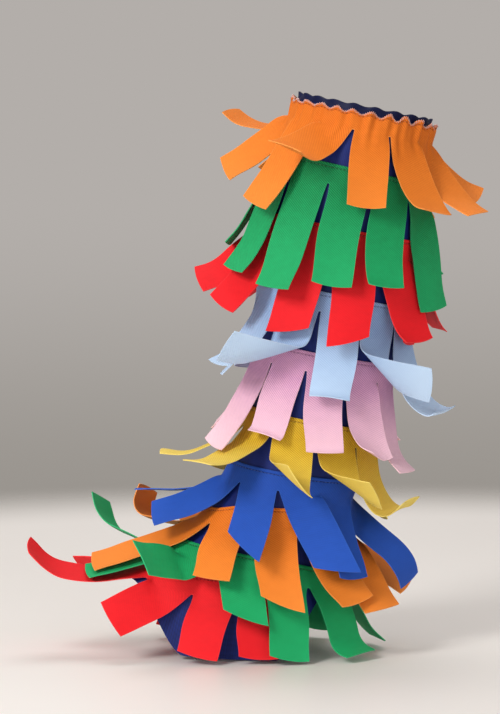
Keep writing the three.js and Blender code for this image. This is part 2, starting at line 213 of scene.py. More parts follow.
# Creases of the tube: middle, half width, half height, depth into the leg, and tilt
CREASE = ("angle", "down", "wide", "high", "depth", "tilt")
CREASES = (
    (-62, 20, 8, 30, 1.1, 6),
    (-20, 35, 9, 34, 1.2, -4),
    (12, 36, 5, 30, 0.9, 3),
    (44, 40, 8, 38, 1.2, 8),
    (96, 36, 10, 36, 1.2, 0),
    (150, 40, 9, 40, 1.1, -6),
    (205, 30, 10, 36, 1.2, 5),
    (258, 36, 8, 32, 1.0, 4),
    (-34, 86, 10, 26, 1.0, 10),
    (30, 84, 9, 30, 1.1, -8),
    (110, 88, 12, 28, 1.1, 6),
    (190, 84, 12, 28, 1.0, -4),
    (-50, 140, 10, 30, 1.0, -6),
    (20, 138, 7, 32, 1.2, 4),
    (80, 142, 10, 30, 1.0, 8),
    (170, 140, 12, 34, 1.1, -8),
    (240, 190, 12, 30, 1.0, 6),
    (-16, 188, 8, 28, 1.1, -6),
    (60, 190, 9, 28, 1.0, 10),
    (-70, 240, 12, 22, 1.2, 20),
    (0, 242, 9, 26, 1.3, 12),
    (70, 240, 10, 26, 1.1, -14),
    (170, 244, 14, 26, 1.2, 10),
    (-60, 290, 16, 12, 1.6, 60),
    (10, 292, 12, 16, 1.5, 40),
    (80, 290, 16, 14, 1.6, -50),
    (180, 292, 18, 14, 1.5, 30),
    (-40, 322, 18, 8, 1.9, 75),
    (40, 324, 16, 9, 1.8, -70),
    (120, 322, 20, 9, 1.8, 80),
    (220, 324, 20, 9, 1.8, -75),
    (-55, 358, 16, 10, 1.8, 55),
    (-12, 362, 12, 12, 1.6, 35),
    (36, 360, 14, 12, 1.6, -45),
    (140, 360, 20, 10, 1.6, 60),
    (-52, 392, 10, 14, 1.7, 25),
    (-24, 398, 8, 14, 1.5, -12),
    (8, 400, 7, 16, 1.5, 6),
    (34, 398, 9, 14, 1.6, -16),
    (150, 400, 12, 12, 1.4, 10),
    (196, 398, 11, 12, 1.4, -10),
)
CREASE_START = (4, 20)  # below the rim, over which the creases grow to their full depth
CREASE_SHARP = 2.5
CREASE_SPAN = 50  # degrees, past which a crease is over
CREASE_MARGIN = 40  # past three times its half height, where it is over too
SIDE_SEAM = 29  # angle of the tube's own seam
SIDE_SEAM_WIDE = 1.2
SIDE_SEAM_DEEP = 0.5

# The bands. seam: how far down the leg. count: strips. first: angle of the first slit.
# length: of a band that doesn't go all round. flare: how far the band's foot stands out.
# weave: how plainly the cloth's ribs show, in relief and in the painted shade of their hollows.
# Each pose row is one strip, in order round the leg; the other strips take a loose hang.
# longer: beyond the usual length. sway: lean to the right. lift: away from the leg at the root.
# sag: bend in its middle. flip: bend below that. skew: slant of those bends. tip: curl of its
# last piece. cant: slant of the bend at the root. end: slant of its cut end. What a row leaves
# out is 0.
POSE = ("longer", "sway", "lift", "sag", "flip", "skew", "tip", "cant", "end")
TIERS = (
    dict(name="fringe_01_orange", slot="orange", seam=5, count=12, first=-126,
         weave=1.1, poses=(
        (8, -12, 72, 5, 30, 0),
        (12, -22, 38, -5, 8, -20, 0, 38),
        (20, -4, 16, -5, 8, -10, 0, 20, 4),
        (4, -30, 46, 5, 45, -30, 10),
        (1, 6, 12, 0, 0, 0, 0, 0, -1),
        (8, 20, 22, 0, 25, 25, 40, 0, 10),
        (16, 14, 44, 10, 25, 30, 0, -25),
        (4, 12, 54, 10, 20, 0, 0, -30))),
    dict(name="fringe_02_green", slot="green", seam=51, count=11, first=-114,
         weave=1.6, poses=(
        (12, 0, 14, 0, 10, 0),
        (29, 0, 10, 0, 20, 0, 0, 20, 3),
        (34, 0, 12, 0, 15, -30),
        (20, -2, 9, 0, 0, 0, 0, 0, -2),
        (16, -5, 14, 0, 12, 0, 30, -30, -6),
        (28, 6, 25, -10, 8, 0, 0, -50, -3),
        (14, 0, 14, -4, 0, 0))),
    dict(name="fringe_03_red", slot="red", seam=98, count=11, first=-138,
         weave=0.5, poses=(
        (10, 0, 25, 0, 30, 0),
        (12, -26, 48, 0, 30, 0, 0, 20),
        (14, -18, 29, 0, 10, 0),
        (14, -6, 12, 0, 0, 0, 10, 0, -18),
        (14, 1, 12, 0, 5, 0, 0, 0, -18),
        (12, 16, 12, 5, 20, 20, 25),
        (8, -6, 3, 0, 0, 0))),
    dict(name="fringe_04_light_blue", slot="light_blue", seam=152, count=11, first=-108,
         weave=1.3, poses=(
        (14, 0, 15, 0, 25, 0),
        (12, 2, 36, 0, 26, 0),
        (34, -8, 14, 100, 25, -50, 0, -20),
        (8, 1, 12, 0, 5, 0, 70),
        (26, -4, 18, 100, 15, 50, 0, 20),
        (32, 10, 27, 14, 50, 0, 60, -20),
        (4, 0, 24, 0, 10, 0))),
    dict(name="fringe_05_pink", slot="pink", seam=201, count=11, first=-112,
         weave=1.5, poses=(
        (10, -8, 24, 0, 14, 0),
        (21, -6, 24, 0, 10, 0, 10, 0, 3),
        (0, -6, 14, 0, 10, 0, 75),
        (4, 8, 14, 0, 0, 0, 60, 0, 2),
        (8, 14, 15, 0, 35, 35, 40),
        (18, 2, 20, 0, 42, 0),
        (4, 0, 14, 0, 20, 0))),
    dict(name="fringe_06_yellow", slot="yellow", seam=256, count=9, first=-154,
         weave=1.6, flare=1, poses=(
        (0, 0, 30, 0, 10, 0),
        (16, 0, 50, 0, 30, 0),
        (12, 12, 54, 5, 25, 0),
        (6, 14, 28, 60, 30, 45, 0, 20),
        (8, 16, 30, 70, 20, 50, 0, 20),
        (22, 16, 20, 40, 90, 0),
        (4, 0, 26, 0, 20, 0))),
    dict(name="fringe_07_royal_blue", slot="royal_blue", seam=302, count=9, first=-167,
         weave=0.4, flare=1.5, poses=(
        (0, 0, 40, 0, 10, 0),
        (20, 0, 50, 10, 0, 0),
        (10, -20, 30, 0, 8, -20, 0, 0, 5),
        (-4, 30, 22, 0, 0, 20, 0, 0, 38),
        (10, 56, 26, 0, 0, 0, 0, 0, 32),
        (8, 12, 38, 0, 0, 0),
        (30, 8, 80, 0, -36, 0, -14, -24),
        (8, 36, 34, 0, -10, 0))),
    dict(name="fringe_08_orange", slot="orange", seam=332, count=9, first=-176,
         weave=1.0, flare=1.5, poses=(
        (36, 20, 50, 0, 80, 0),
        (26, 0, 56, 0, 98, 0, 0, 0, 3),
        (34, -8, 24, 3, 0, 0),
        (-8, 22, 24, -5, 5, 0, 0, 0, 4),
        (6, 20, 22, -5, 10, 15, 0, 0, 28),
        (8, 24, 20, 10, 20, 20),
        (16, -10, 64, 0, 8, 0, 0, -54),
        (24, -28, 88, 0, 0, 0, 0, -60),
        (6, 0, 14, 0, 14, 0))),
    dict(name="fringe_09_green", slot="green", seam=370, count=10, first=-138,
         weave=0.5, flare=4.5, poses=(
        (38, 0, 52, -5, 50, 0),
        (8, 0, 10, 5, 0, 0),
        (4, -8, 58, 0, 6, 0, 0, 10),
        (-18, 50, 8, 0, 10, 20, 0, 0, 30),
        (4, 26, 4, 0, 5, 0, 0, 0, 8),
        (4, 10, 0, 0, 60, 0),
        (0, 0, 6, 0, 20, 0),
        (0, 0, 6, 0, 20, 0))),
    dict(name="fringe_10_red", slot="red", seam=396, count=7, first=-191,
         weave=0.3, length=248, flare=1.5, poses=(
        (-14, 0, 14, 0, 0, 0),
        (-6, 0, 20, 0, 0, 0),
        (4, 0, 30, 0, 0, 0),
        (36, 0, 16, 12, 38, 0, 0, 20),
        (-4, -32, 34, 0, 0, 0),
        (-9, -3, 18, 0, 0, 0),
        (-14, 2, 13, 0, 0, 0))),
)
# The loose hang: middle, swing and rate of each value, from strip to strip
LOOSE = dict(longer=(0, 3, 2.3), sway=(0, 3, 1.7), lift=(14, 3, 2.9), sag=(0, 4, 1.3),
             flip=(14, 16, 3.7), skew=(0, 18, 4.1), tip=(4, 9, 1.9), cant=(0, 2, 3.1),
             end=(0, 2.5, 5.3))
LOOSE_LIFT = 13
LOOSE_PHASE = 2.4

# Cloth colours: in the light, in the painted shade of the hollows of the weave or knit, and along a
# cut edge (also the painted light toward the strips' ends)
COLOURS = dict(
    orange=("#EE801E", "#CB5E10", "#FFBA6C"),
    green=("#0FA863", "#056333", "#4ACC90"),
    red=("#EC1420", "#B40A12", "#FF5A58"),
    light_blue=("#A6C7EE", "#7090C8", "#C9DFF6"),
    pink=("#E9AFCA", "#AD76A8", "#FAD6DE"),
    yellow=("#F0CF36", "#BE8E1C", "#F9E68C"),
    royal_blue=("#1B4FB6", "#103383", "#4A7FDC"),
    knit=("#142B80", "#060D32", "#3345B4"),
)


def rad(degrees):
    return math.radians(degrees)


def clamp(x, low, high):
    return min(high, max(low, x))


def smooth(low, high, x):
    t = clamp((x - low) / (high - low), 0, 1)
    return t * t * (3 - 2 * t)


def mix(a, b, t):
    return a + (b - a) * t


def through(column):
    """A smooth curve through one column of SECTIONS."""
    x = DOWNS
    y = [row[SECTION.index(column)] for row in SECTIONS]
    slope = [(y[i + 1] - y[i]) / (x[i + 1] - x[i]) for i in range(len(x) - 1)]
    tangent = []
    for i in range(len(x)):
        before = slope[max(i - 1, 0)]
        after = slope[min(i, len(slope) - 1)]
        tangent.append(0 if before * after <= 0 else 2 * before * after / (before + after))

    def at(down):
        i = clamp(bisect.bisect_right(x, down) - 1, 0, len(x) - 2)
        step = x[i + 1] - x[i]
        t = clamp((down - x[i]) / step, 0, 1)
        left = t * (1 - t) * (1 - t) * tangent[i] * step
        right = t * t * (1 - t) * tangent[i + 1] * step
        return mix(y[i], y[i + 1], t * t * (3 - 2 * t)) + left - right

    return at


CURVES = [through(name) for name in SECTION[1:]]


@functools.lru_cache(maxsize=4096)
def section(down):
    return [curve(down) for curve in CURVES]


def on_tube(angle, down):
    """A point of the tube's outer face."""
    front_x, front_z, back_x, back_z, side, drop = section(down)
    to_heel = math.sin(rad(angle))
    along = (1 + to_heel) / 2
    hang = drop * (1 - smooth(DROP_FROM, DROP_TO, abs(to_heel)))
    z = mix(front_z, back_z, along) - hang
    return Vector((mix(front_x, back_x, along), -side * math.cos(rad(angle)), z))


def directions(angle, down):
    """Out of the cloth, down it and round it."""
    at = min(down, HEM - NEAR)
    below = (on_tube(angle, at + NEAR) - on_tube(angle, at - NEAR)).normalized()
    around = (on_tube(angle + NEAR, at) - on_tube(angle - NEAR, at)).normalized()
    out = below.cross(around).normalized()
    return out, below, out.cross(below).normalized()


def below_seam(angle, seam, length):
    """The point a length of cloth below a seam, also past the hem, and the directions there."""
    down = seam
    left = length
    while left > 0 and down < HEM:
        reach = on_tube(angle, min(down + NEAR, HEM)) - on_tube(angle, down - NEAR)
        rate = reach.length
        used = min(left, WALK, (HEM - down) * rate + 0.01)
        down += used / rate
        left -= used
    down = min(down, HEM)
    out, below, around = directions(angle, down)
    return on_tube(angle, down) + below * max(left, 0), out, below, around


class Shell:
    """Thin closed cloth: two faces from one sheet of points, with a sharp cut rim."""

    def __init__(self, thickness):
        self.half = thickness / 2
        self.points = []
        self.cells = []

    def add(self, point, out, uv, edge=(FAR, FAR)):
        self.points.append((point, out, uv, edge))
        return len(self.points) - 1

    def grid(self, rows, closed=False):
        """Cells between rows of point numbers, which run from the left to the right."""
        for upper, lower in zip(rows, rows[1:]):
            last = len(upper) if closed else len(upper) - 1
            for i in range(last):
                j = (i + 1) % len(upper)
                self.cells.append((upper[i], lower[i], lower[j], upper[j]))

    def build(self, name, material):
        count = len(self.points)
        outer = [p + n * self.half for p, n, _, _ in self.points]
        inner = [p - n * self.half for p, n, _, _ in self.points]
        faces = list(self.cells)
        faces += [tuple(count + i for i in reversed(cell)) for cell in self.cells]
        sides = {}
        for cell in self.cells:
            for a, b in zip(cell, cell[1:] + cell[:1]):
                sides[(a, b)] = True
        rim = [(a, b) for a, b in sides if (b, a) not in sides]
        faces += [(b, a, count + a, count + b) for a, b in rim]
        mesh = bpy.data.meshes.new(name)
        mesh.from_pydata([v * MM for v in outer + inner], [], faces)
        cut = {tuple(sorted(pair)) for pair in rim}
        cut |= {(a + count, b + count) for a, b in cut}
        for line in mesh.edges:
            line.use_edge_sharp = tuple(sorted(line.vertices)) in cut
        for label, item in (("Cloth", 2), ("Edge", 3)):
            layer = mesh.uv_layers.new(name=label)
            for loop, corner in zip(mesh.loops, layer.data):
                corner.uv = self.points[loop.vertex_index % count][item]
        mesh.polygons.foreach_set("use_smooth", [True] * len(faces))
        mesh.materials.append(material)
        thing = bpy.data.objects.new(name, mesh)
        bpy.context.scene.collection.objects.link(thing)
        return thing


class Threads:
    """Many short lengths of sewing thread in one mesh."""

    def __init__(self, radius, sides=5):
        self.radius = radius
        self.sides = sides
        self.points = []
        self.faces = []

    def run(self, path, taper=True):
        """A round thread through points, each given with the cloth's direction out."""
        start = len(self.points)
        for i, (point, out) in enumerate(path):
            ahead = path[min(i + 1, len(path) - 1)][0] - path[max(i - 1, 0)][0]
            across = ahead.cross(out).normalized()
            up = across.cross(ahead).normalized()
            thin = THREAD_TAPER if taper and i in (0, len(path) - 1) else 1
            for k in range(self.sides):
                turn = 2 * math.pi * k / self.sides
                spoke = across * math.cos(turn) + up * math.sin(turn)
                self.points.append(point + spoke * self.radius * thin)
        for i in range(len(path) - 1):
            for k in range(self.sides):
                a = start + i * self.sides + k
                b = start + i * self.sides + (k + 1) % self.sides
                self.faces.append((a, b, b + self.sides, a + self.sides))
        first = range(start, start + self.sides)
        last = range(len(self.points) - self.sides, len(self.points))
        self.faces += [tuple(reversed(first)), tuple(last)]

    def build(self, name, material):
        mesh = bpy.data.meshes.new(name)
        mesh.from_pydata([v * MM for v in self.points], [], self.faces)
        mesh.polygons.foreach_set("use_smooth", [True] * len(self.faces))
        mesh.materials.append(material)
        thing = bpy.data.objects.new(name, mesh)
        bpy.context.scene.collection.objects.link(thing)
        return thing


def linear(colour):
    """A hex colour as Blender's linear values."""
    parts = [int(colour[i:i + 2], 16) / 255 for i in (1, 3, 5)]
    return [c / 12.92 if c < 0.04045 else ((c + 0.055) / 1.055) ** 2.4 for c in parts] + [1]


def darker(colour, share):
    return [part * share for part in colour[:3]] + [1]


class Nodes:
    """Short names for building a material's nodes."""

    def __init__(self, name):
        self.material = bpy.data.materials.new(name)
        self.material.use_nodes = True
        self.tree = self.material.node_tree
        self.shader = self.tree.nodes["Principled BSDF"]

    def node(self, kind, inputs=(), **settings):
        made = self.tree.nodes.new(kind)
        for key, value in settings.items():
            setattr(made, key, value)
        for key, value in dict(inputs).items():
            if isinstance(value, bpy.types.NodeSocket):
                self.tree.links.new(value, made.inputs[key])
            else:
                made.inputs[key].default_value = value
        return made

    def math(self, operation, a, b=0.0):
        return self.node("ShaderNodeMath", {0: a, 1: b}, operation=operation).outputs[0]

    def blend(self, factor, a, b):
        made = self.node("ShaderNodeMix", data_type="RGBA")
        for socket, value in zip((made.inputs[0], made.inputs[6], made.inputs[7]), (factor, a, b)):
            if isinstance(value, bpy.types.NodeSocket):
                self.tree.links.new(value, socket)
            else:
                socket.default_value = value
        return made.outputs[2]

    def ramp(self, value, low, high, start, end):
        """A number that goes from start to end as the value goes from low to high."""
        return self.node("ShaderNodeMapRange", {"Value": value, "From Min": low, "From Max": high,
                                                "To Min": start, "To Max": end}).outputs[0]

    def noise(self, scale, detail):
        return self.node("ShaderNodeTexNoise", {"Scale": scale, "Detail": detail}).outputs[0]

    def surface(self, settings):
        for key, value in settings.items():
            self.shader.inputs[key].default_value = value

    def finish(self, colour, height, strength, depth):
        """Joins the colour and the relief, whose depth is in mm, to the shader."""
        bump = self.node("ShaderNodeBump", {"Height": height})
        bump.inputs["Strength"].default_value = strength
        bump.inputs["Distance"].default_value = depth * MM
        self.tree.links.new(colour, self.shader.inputs["Base Color"])
        self.tree.links.new(bump.outputs[0], self.shader.inputs["Normal"])
        return self.material


def ribbon_material(slot, plainness):
    """Matte woven ribbon with fine diagonal dotted ribs whose hollows carry painted shade, painted
    shade under the band above, painted light toward the strips' ends, a dark seam line and pale cut
    edges with a painted backlight glow.
    """
    light, hollow, edge = (linear(c) for c in COLOURS[slot])
    m = Nodes(f"cloth_{slot}_{plainness}")
    place = m.node("ShaderNodeSeparateXYZ", {0: m.node("ShaderNodeUVMap", uv_map="Cloth").outputs[0]})
    u, v = place.outputs[0], place.outputs[1]
    slope, level = math.sin(rad(RIB_LEAN)), math.cos(rad(RIB_LEAN))
    over = m.math("SUBTRACT", m.math("MULTIPLY", v, level), m.math("MULTIPLY", u, slope))
    along = m.math("ADD", m.math("MULTIPLY", v, slope), m.math("MULTIPLY", u, level))
    rib = m.math("ABSOLUTE", m.math("SINE", m.math("MULTIPLY", over, math.pi / RIB)))
    pick = m.math("ABSOLUTE", m.math("SINE", m.math("MULTIPLY", along, math.pi / PICK)))
    dots = m.math("MULTIPLY", pick, 1 - RIB_SHARE)
    weave = m.math("ADD", m.math("MULTIPLY", rib, RIB_SHARE), dots)
    # painted shade in the weave's hollows: plain high up, fading lower down where the strips take the
    # light
    plain = m.ramp(v, *WEAVE_FADE, plainness, plainness * WEAVE_LEFT)
    hollows = m.math("MULTIPLY", m.math("SUBTRACT", 1.0, weave), plain)
    cloud = m.noise(*CLOUD_NOISE)
    fuzz = m.noise(*FUZZ_NOISE)
    # painted shade under the band above, lifting further down the strip
    band_shade = m.ramp(v, BAND_SHADE_FROM, BAND_SHADE_TO, *BAND_SHADE_TONES)
    shade = m.math("SUBTRACT", band_shade, m.math("MULTIPLY", hollows, HOLLOW_SHADE))
    shade = m.math("ADD", shade, m.math("MULTIPLY", cloud, CLOUD))
    base = m.blend(shade, hollow, light)
    # painted light toward the strips' ends
    base = m.blend(m.ramp(v, TIP_LIGHT_FROM, TIP_LIGHT_TO, 0, TIP_LIGHT[slot]), base, edge)
    away = m.math("ABSOLUTE", m.math("SUBTRACT", v, STITCH_DOWN))
    sewn = m.ramp(away, SEAM_HALF / 3, SEAM_HALF, SEAM_DARK, 0)
    base = m.blend(sewn, base, darker(hollow, SEAM_TONE))
    rim = m.node("ShaderNodeSeparateXYZ", {0: m.node("ShaderNodeUVMap", uv_map="Edge").outputs[0]})
    near = m.math("MINIMUM", rim.outputs[0], rim.outputs[1])
    # pale cut threads with a painted backlight glow along every cut edge
    colour = m.blend(m.ramp(near, *CUT_EDGE, CUT_PALE, 0), base, edge)
    relief = m.math("SUBTRACT", m.math("MULTIPLY", fuzz, FUZZ), hollows)
    m.surface({**RIBBON_SURFACE, "Sheen Tint": edge})
    return m.finish(colour, relief, *RIBBON_RELIEF)


def knit_material():
    """Smooth fine jersey: close upright ribs, a soft shine, and painted shade along its elastic rim.
    """
    light, hollow, edge = (linear(c) for c in COLOURS["knit"])
    m = Nodes("cloth_knit")
    place = m.node("ShaderNodeSeparateXYZ", {0: m.node("ShaderNodeUVMap", uv_map="Cloth").outputs[0]})
    u, v = place.outputs[0], place.outputs[1]
    wale = m.math("ABSOLUTE", m.math("SINE", m.math("MULTIPLY", u, math.pi / WALE)))
    course = m.math("ABSOLUTE", m.math("SINE", m.math("MULTIPLY", v, math.pi / COURSE)))
    rows = m.math("MULTIPLY", course, 1 - WALE_SHARE)
    loops = m.math("ADD", m.math("MULTIPLY", wale, WALE_SHARE), rows)
    cloud = m.math("MULTIPLY", m.noise(*KNIT_NOISE), KNIT_CLOUD)
    # loops and mottling lift the knit from its hollow tone, which is painted shade, toward its light
    # tone
    shade = m.math("ADD", m.math("MULTIPLY", loops, KNIT_LIGHT), cloud)
    m.surface({**KNIT_SURFACE, "Sheen Tint": edge})
    # painted shade along the rim, darkest at its top edge and gone by twice the rim's height
    rim = m.ramp(v, RIM_HEIGHT, 2 * RIM_HEIGHT, RIM_SHADE, 0)
    colour = m.blend(rim, m.blend(shade, hollow, light), darker(hollow, RIM_SHADE_TONE))
    return m.finish(colour, loops, *KNIT_RELIEF)


def thread_material(name, colour, dark):
    """Sewing thread: a fine twist in two tones."""
    m = Nodes(name)
    twist = m.noise(*TWIST_NOISE)
    m.surface(THREAD_SURFACE)
    base = m.blend(twist, linear(dark), linear(colour))
    return m.finish(base, twist, *THREAD_RELIEF)


def crease_depth(angle, down, around):
    """How far the tube's face lies in at a place. around is its half width there, mm."""
    depth = 0.0
    for row in CREASES:
        c = dict(zip(CREASE, row))
        away = (angle - c["angle"] + 180) % 360 - 180
        if abs(away) > CREASE_SPAN or abs(down - c["down"]) > 3 * c["high"] + CREASE_MARGIN:
            continue
        x = rad(away) * around
        y = down - c["down"]
        lean = rad(c["tilt"])
        across = x * math.cos(lean) + y * math.sin(lean)
        length = -x * math.sin(lean) + y * math.cos(lean)
        near = (across / c["wide"]) ** 2 * CREASE_SHARP + (length / c["high"]) ** 2
        depth += c["depth"] * math.exp(-near)
    return depth


def make_tube(material):
    """The knitted tube, gathered at the rim, with its side seam and soft creases."""
    shell = Shell(KNIT)
    rings = list(RIM_RINGS)
    while rings[-1] < HEM - TUBE_STEP:
        rings.append(rings[-1] + (TUBE_STEP if rings[-1] < FOOT_FROM else TUBE_STEP / 2))
    rings.append(HEM)
    rows = []
    for down in rings:
        row = []
        for i in range(TUBE_COLUMNS):
            angle = 360 * i / TUBE_COLUMNS
            out = directions(angle, max(down, 1))[0]
            uneven = 1 + RIM_UNEVEN * math.sin(rad(3 * angle) + 1)
            wave = -math.cos(rad(RIM_WAVES * angle)) * uneven
            near_rim = max(0, 1 - down / RIM_HEIGHT)
            pleat = RIM_PLEAT * wave * near_rim
            side = section(down)[4]
            dip = crease_depth(angle, down, side) * smooth(*CREASE_START, down)
            off = abs((angle - SIDE_SEAM + 180) % 360 - 180) * rad(1) * side
            dip += SIDE_SEAM_DEEP * math.exp(-(off / SIDE_SEAM_WIDE) ** 2)
            point = on_tube(angle, down) + out * (pleat - dip - KNIT / 2)
            point.z -= RIM_SCALLOP * (0.5 - 0.5 * wave) * near_rim
            row.append(shell.add(point, out, (rad(angle) * KNIT_AROUND, down)))
        rows.append(row)
    shell.grid(rows, closed=True)
    return shell.build("knit_tube", material)


def pose_of(tier, index, strip):
    """A strip's pose: its row in the table, or a loose hang that differs from its neighbours'."""
    rows = tier["poses"]
    if strip < len(rows):
        row = rows[strip]
        return dict(zip(POSE, row + (0,) * (len(POSE) - len(row))))
    pose = {}
    for name in POSE:
        middle, swing, rate = LOOSE[name]
        pose[name] = middle + swing * math.sin(rate * (strip + 1) + LOOSE_PHASE * index)
    pose["longer"] += rows[-1][0]
    pose["lift"] += LOOSE_LIFT if strip % 2 else 0
    return pose


def turned(v, axis, angle):
    return Matrix.Rotation(angle, 3, axis) @ v


def bent_strip(root, pose):
    """A flat strip bent about slanting lines, so that its cloth never stretches."""
    point, out, below, around = root
    length = STRIP_LENGTH + pose["longer"]
    sway = rad(pose["sway"])
    below, around = turned(below, out, sway), turned(around, out, sway)
    frames = [(0.0, 0.0, point, around, below, out)]
    parts = [(low / PARTS, high / PARTS, pose[name]) for low, high, name in BENDS]
    for k in range(FOLDS):
        share = (k + 0.5) / FOLDS
        low, high, bend = next(p for p in parts if share < p[1])
        at = share * length
        slant = rad(mix(pose["cant"], pose["skew"], smooth(BEND_FROM, BEND_TO, share)))
        before, _, point, around, below, out = frames[-1]
        axis = around * math.cos(slant) + below * math.sin(slant)
        angle = -rad(bend) / ((high - low) * FOLDS)
        point = point + below * (at - before)
        spin = Matrix.Rotation(angle, 3, axis)
        frames.append((at, math.tan(slant), point, spin @ around, spin @ below, spin @ out))

    def place(across, down):
        at, _, point, around, below, out = next(
            (f for f in reversed(frames) if down >= f[0] + across * f[1]), frames[0])
        return point + around * across + below * (down - at), out

    return length, place


def round_seam(tier):
    """The seam's length, and a function from a length along it to the angle there."""
    first, seam = tier["first"], tier["seam"]
    lengths = [0.0]
    for step in range(1, 361):
        here, there = on_tube(first + step, seam), on_tube(first + step - 1, seam)
        lengths.append(lengths[-1] + (here - there).length)

    def angle_at(length):
        i = clamp(bisect.bisect_right(lengths, length) - 1, 0, 359)
        return first + i + (length - lengths[i]) / (lengths[i + 1] - lengths[i])

    return lengths[-1], angle_at


def seam_roll(length):
    """The turned top edge of a band: a soft roll, and a groove where it is stitched."""
    roll = ROLL_HIGH * math.exp(-((length - ROLL_DOWN) / ROLL_WIDE) ** 2)
    return roll - GROOVE_DEEP * math.exp(-((length - STITCH_DOWN) / GROOVE_WIDE) ** 2)


class Band:
    """Where a band's cloth lies round the tube, from its top edge down to its slits."""

    def __init__(self, tier, index):
        whole, self.angle_at = round_seam(tier)
        self.tier = tier
        self.index = index
        self.count = tier["count"]
        self.closed = "length" not in tier
        self.reach = tier.get("length", whole)
        self.flare = tier.get("flare", 0)
        self.ruffled = index == 0
        self.fullness = FULLNESS if self.ruffled else 1
        self.pitch = self.reach / self.count
        self.width = min(STRIP_WIDTH, (self.pitch - SLIT) * self.fullness)

    def along(self, strip, share):
        """The length round the seam to a share of a strip's width."""
        return strip * self.pitch + SLIT / 2 + share * (self.pitch - SLIT)

    def turn(self, strip, share):
        """How far round the band a place is, in radians."""
        return 2 * math.pi * self.along(strip, share) / self.reach

    def crest(self, strip, share):
        """Height of the ruffle's wave, which has two uneven crests to a strip."""
        if not self.ruffled:
            return 0
        turn = self.turn(strip, share)
        drift = sum(size * math.sin(waves * turn) for waves, size in RUFFLE_DRIFT)
        wave = 0.5 - 0.5 * math.cos(2 * self.count * turn - RUFFLE_SHIFT + drift)
        tall = RUFFLE_TALL - RUFFLE_VARY * math.cos(2 * turn - RUFFLE_CALM)
        return wave * (tall + RUFFLE_FLUTTER * math.sin(5 * turn))

    def gather(self, strip, share, length):
        """Folds that run down from the gathers and fade."""
        if not self.ruffled:
            return 0
        turn = self.turn(strip, share)
        wave = math.sin(GATHERS[0] * turn) + GATHER_SECOND * math.sin(GATHERS[1] * turn + 1)
        fade = math.exp(-((length - GATHER_FROM) / GATHER_FADE) ** 2)
        return GATHER * (1 + GATHER_SECOND + wave) * fade

    def at(self, strip, share, length):
        """A place on the band: its middle point and the direction out of it."""
        angle = self.angle_at(self.along(strip, share))
        height = self.crest(strip, share)
        dip = RUFFLE_DIP * (1 - height) if self.ruffled else 0
        raised = (height * RUFFLE_UP - dip) * max(0, 1 - 2 * length / HEADER)
        point, out, _, _ = below_seam(angle, self.tier["seam"] - raised, length)
        stand = mix(height * RUFFLE_OUT, self.flare, length / HEADER)
        stand += seam_roll(length) + self.gather(strip, share, length)
        return point + out * (MIDDLE + stand), out

    def on_line(self, along, length):
        """The same at a length round the seam. Over a slit it is the nearer strip's edge."""
        strip = min(int(along / self.pitch), self.count - 1)
        share = clamp((along - strip * self.pitch - SLIT / 2) / (self.pitch - SLIT), 0, 1)
        return self.at(strip, share, length)

    def root(self, strip):
        """Where a strip leaves the band: its point and its directions out, down and round."""
        middle = self.angle_at((strip + 0.5) * self.pitch)
        point, out, below, around = below_seam(middle, self.tier["seam"], HEADER)
        tip = -math.atan2(self.flare, HEADER)
        place = point + out * (MIDDLE + self.flare)
        return place, turned(out, around, tip), turned(below, around, tip), around


def add_strip(shell, band, strip):
    """Adds a strip and the uncut top above it. Returns that top's columns and the strip's length."""
    pose = pose_of(band.tier, band.index, strip)
    length, place = bent_strip(band.root(strip), pose)
    tilt = math.tan(rad(pose["end"]))
    curl = CURL * math.sin(CURL_RATES[0] * strip + CURL_RATES[1] * band.index)
    bow = BOW * math.sin(BOW_RATES[0] * strip + BOW_RATES[1] * band.index)
    cells = RUFFLE_COLUMNS if band.ruffled else STRIP_COLUMNS
    columns = []
    grid = [[] for _ in range(STRIP_ROWS + 1)]
    for c in range(cells + 1):
        share = c / cells
        side = 2 * share - 1
        across = side * band.width / 2
        inset = band.width / 2 - abs(across)
        u = (strip + 0.5) * band.pitch + across
        column = []
        for down in HEADER_ROWS:
            spot, normal = band.at(strip, share, down)
            column.append(shell.add(spot, normal, (u, down), (inset + (HEADER - down) / 2, FAR)))
        columns.append(column)
        grid[0].append(column[-1])
        held, held_out = band.at(strip, share, HEADER)
        lean = held - place(across, 0)[0]
        end = length + across * tilt - ROUND * side * side
        for r in range(1, STRIP_ROWS + 1):
            down = end * r / STRIP_ROWS
            bulge = math.sin(math.pi * down / end) ** 2
            spot, normal = place(across * (1 + BELLY * bulge) + bow * bulge, down)
            hold = (1 - clamp(down / ROOT_BLEND, 0, 1)) ** 2
            folds = band.gather(strip, share, HEADER + down) * (1 - hold)
            spot = spot + lean * hold + normal * folds
            normal = normal.lerp(held_out, hold).normalized()
            free = smooth(FREE_FROM, 1, down / length)
            ripple = RIPPLE * math.sin(down / RIPPLE_LONG + 2 * strip + side) * abs(side) ** 3
            spot = spot + normal * free * (curl * side * side + ripple)
            grid[r].append(shell.add(spot, normal, (u, HEADER + down), (inset, end - down)))
    shell.grid(grid)
    return columns, length


def make_tier(tier, index, material, thread):
    """A band and its strips as one cut cloth, and the line of stitches that holds it."""
    band = Band(tier, index)
    shell = Shell(RIBBON)
    columns = []
    for strip in range(band.count):
        top, length = add_strip(shell, band, strip)
        columns += top
    shell.grid([list(row) for row in zip(*columns)], closed=band.closed)
    piece = shell.build(tier["name"] + "_cloth", material)
    sewn = make_stitches(tier["name"], band, thread)

    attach(piece, "root")
    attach(sewn, "root")
    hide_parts(tier["name"])
    if band.ruffled:
        make_overlock(band)


